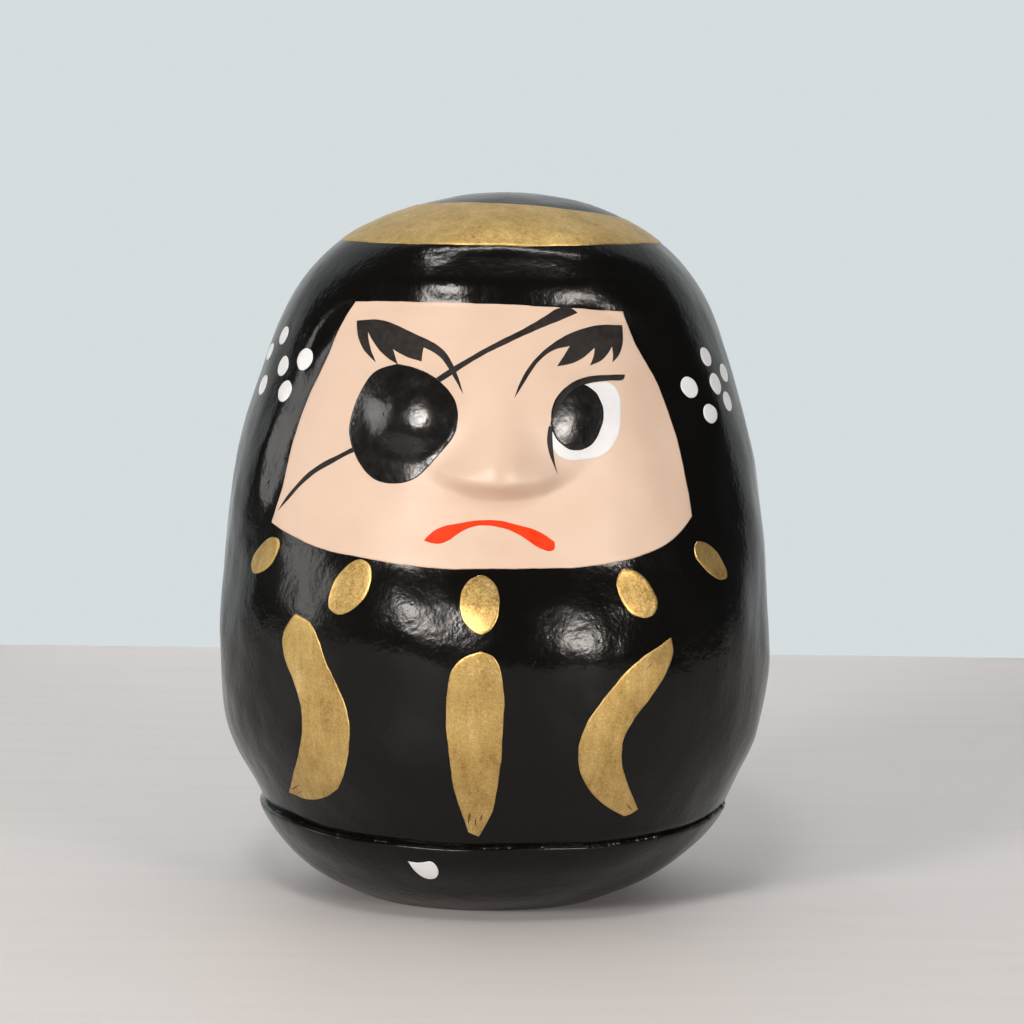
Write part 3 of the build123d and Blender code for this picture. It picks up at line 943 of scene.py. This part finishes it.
STROKE_MIDDLE = [
    [(-3.2, 65.6), (-7.6, 63.6), (-9.9, 59), (-10.5, 50.9), (-9.6, 40.5), (-7.8, 30.9), (-5.2, 23.2)],
    [(-5.2, 23.2), (-4.2, 22.8), (-2.9, 22.2)],
    [(-2.9, 22.2), (-0.5, 27.4), (1.5, 38.4), (2.2, 50), (1.8, 59.5), (0, 64.2), (-3.2, 65.6)],
]
STROKE_RIGHT = [
    [(39.3, 67.4), (39.8, 64.2), (37.6, 58.8), (32.5, 51.3), (29.0, 45.8), (28.7, 39.9), (30.3, 33.7),
     (32.8, 27.6)],
    [(32.8, 27.6), (31.2, 26.6), (29.6, 26.2)],
    [(29.6, 26.2), (26.0, 28.6), (21.2, 34), (18.9, 40), (19.0, 45), (21.8, 51.2), (26, 57.2),
     (32.6, 63.4), (39.3, 67.4)],
]
SPLASH = [
    [(-18.9, 15.4), (-16.1, 15.2), (-13.4, 15.6), (-12.2, 14.2), (-12, 12.4), (-13, 11), (-14.6, 10.9),
     (-16.4, 11.9), (-17.6, 13.2), (-18.9, 15.4)],
]
# Turn from the front in degrees, height and half the width of each dot.
BLOSSOM_LEFT = [
    (-64.6, 125, 2.8), (-70.5, 131.7, 2.6), (-54.3, 127, 3.3),
    (-60, 119.5, 3.1), (-75, 120.1, 2.8), (-79, 127.6, 2.6),
]
BLOSSOM_RIGHT = [
    (63.2, 122.4, 2.9), (62.2, 128.5, 2.6), (51.2, 122, 3.1),
    (57.2, 115.9, 2.8), (68, 118.2, 2.7), (71.5, 124.5, 2.7),
]
# Gaps that the bristles left at the ends of the gold strokes: start, end and width.
BRISTLE_GAPS = [
    ((-46.3, 28.6), (-43.6, 31.0), 0.45), ((-44.9, 28.1), (-42.9, 29.4), 0.3),
    ((-5.3, 25.4), (-5.0, 28.6), 0.5), ((-3.8, 24.6), (-3.6, 27.2), 0.4), ((-2.6, 26.0), (-2.3, 28.2), 0.3),
    ((31.4, 27.4), (30.0, 29.4), 0.4), ((33.4, 60.8), (35.2, 62.4), 0.3),
]


# ---- paint: the face, then what lies on it; gold, white and red ----
ON_FACE = FACE_COAT + CLEAR
WHITE_COAT = 0.06
OVER_WHITE = ON_FACE + WHITE_COAT
LINE_COAT = 0.05            # the brushed lines, the mouth and the splash
PATCH_COAT = 0.08
PUPIL_COAT = 0.06
LID_COAT = 0.07
GAP_COAT = 0.03
FLAT_DOT = 0.82             # height of a dot over its width

paint("face_paint", FACE, FLESH, "face_paint", ["face_coat"], thick=FACE_COAT, spacing=0.45, seed=3)
paint("brow_gold", BROW_BAND, GOLD, "gold_paint", ["brow_band"], seed=4, spacing=0.5,
      place=crown_of(EGG_SKIN))
for count, oval in enumerate(COLLAR_OVALS, start=1):
    paint(f"collar_gold_{count}", oval, GOLD, "gold_paint", [f"collar_oval_{count}"],
          seed=10 + count, wobble=0.12)
STROKES = (("left", STROKE_LEFT, 21), ("middle", STROKE_MIDDLE, 22), ("right", STROKE_RIGHT, 23))
for side, stroke, seed in STROKES:
    paint(f"robe_gold_{side}", stroke, GOLD, "gold_paint", [f"robe_stroke_{side}"], seed=seed, wobble=0.08)
paint("patch_gloss", EYE_PATCH, GLOSS, "black_ink", ["eye_patch"], under=ON_FACE, thick=PATCH_COAT,
      spacing=0.5, seed=31)
for name, mark, node, seed in (
    ("strap_ink_lower", STRAP_LOWER, "strap_lower", 32),
    ("strap_ink_upper", STRAP_UPPER, "strap_upper", 33),
    ("eyebrow_ink_left", BROW_OVER_PATCH, "eyebrow_over_patch", 34),
    ("eyebrow_ink_right", BROW_OVER_EYE, "eyebrow_over_eye", 35),
):
    paint(name, mark, INK, "black_ink", [node], under=ON_FACE, thick=LINE_COAT, shoulder=0.12, seed=seed)
paint("eye_white_paint", EYE_WHITE, WHITE, "white_paint", ["eye_white"], under=ON_FACE,
      thick=WHITE_COAT, spacing=0.5, seed=36)
paint("pupil_gloss", PUPIL, GLOSS, "black_ink", ["pupil"], under=OVER_WHITE, thick=PUPIL_COAT,
      spacing=0.5, seed=37, wobble=0.1)
for side, lid, seed in (("upper", UPPER_LID, 38), ("lower", LOWER_LID, 39)):
    paint(f"lid_ink_{side}", lid, INK, "black_ink", [f"{side}_lid"], under=OVER_WHITE, thick=LID_COAT,
          seed=seed)
paint("mouth_paint", MOUTH, RED, "red_paint", ["mouth"], under=ON_FACE, thick=LINE_COAT, seed=40)
paint("splash_on_dish", SPLASH, WHITE, "white_paint", thick=LINE_COAT, seed=41, place=front_of(DISH_SKIN))
for side, blossom in (("left", BLOSSOM_LEFT), ("right", BLOSSOM_RIGHT)):
    for count, (turn, height, half) in enumerate(blossom, start=1):
        dot = {"at": (0, 0), "half": (half, FLAT_DOT * half), "lean": 0}
        paint(f"dot_{side}_{count}", dot, WHITE, "white_paint", [f"blossom_{side}_{count}"],
              seed=50 + count, wobble=0.1, place=side_of(EGG_SKIN, turn, height))
for count, ((x0, z0), (x1, z1), wide) in enumerate(BRISTLE_GAPS, start=1):
    aside = wide / 2 / math.hypot(x1 - x0, z1 - z0)
    dx, dz = -(z1 - z0) * aside, (x1 - x0) * aside
    middle = ((x0 + x1) / 2, (z0 + z1) / 2)
    sliver = [
        [(x0, z0), (middle[0] + dx, middle[1] + dz), (x1, z1)],
        [(x1, z1), (middle[0] - dx, middle[1] - dz), (x0, z0)],
    ]
    paint(f"bristle_gap_{count}", sliver, WORN, "gold_paint", under=MARK_COAT, thick=GAP_COAT,
          shoulder=0.1, seed=70 + count)

# ---- CAD pieces that stay, hidden inside ----
for node, material in (("joint_tape", bare_paper()), ("ballast", dry_clay())):
    for material_slot in bpy.data.objects[node].material_slots:
        material_slot.material = material

# ---- camera, just above the doll's crown, 0.8 m in front ----
CAMERA_AT = Vector((0, -0.8, 0.173))
LENS_RATIO = 3.32           # focal length over the picture's width
LOOK_DOWN = math.radians(5.94)
LOOK_RIGHT = math.radians(0.263)
TILT = math.radians(0.8)
SENSOR = 36
flat_reach = math.cos(LOOK_DOWN)
ahead = Vector((
    math.sin(LOOK_RIGHT) * flat_reach,
    math.cos(LOOK_RIGHT) * flat_reach,
    -math.sin(LOOK_DOWN),
))
level = ahead.cross(Vector((0, 0, 1))).normalized()
upright = level.cross(ahead)
across = level * math.cos(TILT) + upright * math.sin(TILT)
up = upright * math.cos(TILT) - level * math.sin(TILT)
camera_data = bpy.data.cameras.new("camera")
camera_data.sensor_width = SENSOR
camera_data.lens = SENSOR * LENS_RATIO
camera = bpy.data.objects.new("camera", camera_data)
bpy.context.scene.collection.objects.link(camera)
facing = Matrix((across, up, -ahead)).transposed().to_4x4()
camera.matrix_world = Matrix.Translation(CAMERA_AT) @ facing
bpy.context.scene.camera = camera


# ---- stage and light, in metres ----
def plane(name, corners, material):
    """One flat face of the stage."""
    mesh = bpy.data.meshes.new(name)
    mesh.from_pydata(corners, [], [(0, 1, 2, 3)])
    mesh.materials.append(material)
    obj = bpy.data.objects.new(name, mesh)
    bpy.context.scene.collection.objects.link(obj)
    return obj


HALF_FLOOR = 0.7
FRONT_Y, BACK_Y = -0.4, 0.388
CARD_HEIGHT = 1
SURROUND_RADIUS = 3.0
FLOOR = [
    (-HALF_FLOOR, FRONT_Y, 0), (HALF_FLOOR, FRONT_Y, 0),
    (HALF_FLOOR, BACK_Y, 0), (-HALF_FLOOR, BACK_Y, 0),
]
CARD = [FLOOR[3], FLOOR[2], (HALF_FLOOR, BACK_Y, CARD_HEIGHT), (-HALF_FLOOR, BACK_Y, CARD_HEIGHT)]
plane("floor", FLOOR, pale_floor())
# A pale card behind the doll lights it and shows in its gloss, and the camera looks through it,
# so that the doll can be seen from behind too.
card = plane("card", CARD, pale_card())
card.visible_camera = False


def surround():
    """A pale globe round everything, which only the camera sees."""
    mesh = bpy.data.meshes.new("surround")
    edit = bmesh.new()
    bmesh.ops.create_icosphere(edit, subdivisions=4, radius=SURROUND_RADIUS)
    edit.to_mesh(mesh)
    edit.free()
    mesh.materials.append(pale_glow())
    globe = bpy.data.objects.new("surround", mesh)
    bpy.context.scene.collection.objects.link(globe)
    globe.visible_diffuse = False
    globe.visible_glossy = False
    globe.visible_transmission = False
    globe.visible_volume_scatter = False
    globe.visible_shadow = False


surround()


def softbox(name, at, aim, size, power, colour, seen_in):
    """An area light that does the soft shading only, or shows in reflections only."""
    data = bpy.data.lights.new(name, "AREA")
    data.shape = "RECTANGLE"
    data.size, data.size_y = size
    data.energy = power
    data.color = colour
    lamp = bpy.data.objects.new(name, data)
    lamp.location = at
    lamp.rotation_euler = (Vector(aim) - Vector(at)).to_track_quat("-Z", "Y").to_euler()
    lamp.visible_diffuse = seen_in == "shading"
    lamp.visible_glossy = seen_in == "reflections"
    bpy.context.scene.collection.objects.link(lamp)


HEART = (0, 0, 0.08)        # the middle of the doll
for light in (
    ("key_left", (-0.79, -1.04, 0.50), HEART, (0.30, 0.28), 9, (1.0, 0.95, 0.90), "shading"),
    ("key_right", (0.77, -1.08, 0.38), HEART, (0.30, 0.26), 5, (1.0, 0.94, 0.89), "shading"),
    ("glint_left", (-0.62, -1.16, 0.50), HEART, (0.40, 0.30), 16, (1.0, 0.93, 0.88), "reflections"),
    ("glint_right", (0.80, -1.10, 0.36), HEART, (0.40, 0.26), 13, (1.0, 0.92, 0.86), "reflections"),
    ("glint_high", (-0.08, -0.08, 1.36), (-0.08, 0, 0.15), (1.1, 0.07), 10, (1.0, 0.97, 0.93), "reflections"),
    ("front_high", (-0.15, -0.9, 1.2), HEART, (0.22, 0.22), 3.5, (1.0, 0.97, 0.93), "shading"),
    ("window_left", (-1.3, -0.1, 0.35), HEART, (0.4, 0.6), 4, (1.0, 0.98, 0.96), "reflections"),
    ("overhead", (0, 0, 2.2), (0, 0, 0), (4, 4), 25, (1.0, 0.98, 0.96), "shading"),
):
    softbox(*light)
world = bpy.data.worlds.new("studio")
world.use_nodes = True
sky = world.node_tree.nodes["Background"]
sky.inputs["Color"].default_value = (0.86, 0.93, 1.0, 1)
sky.inputs["Strength"].default_value = 0.06
bpy.context.scene.world = world
bpy.context.scene.view_settings.view_transform = "Standard"
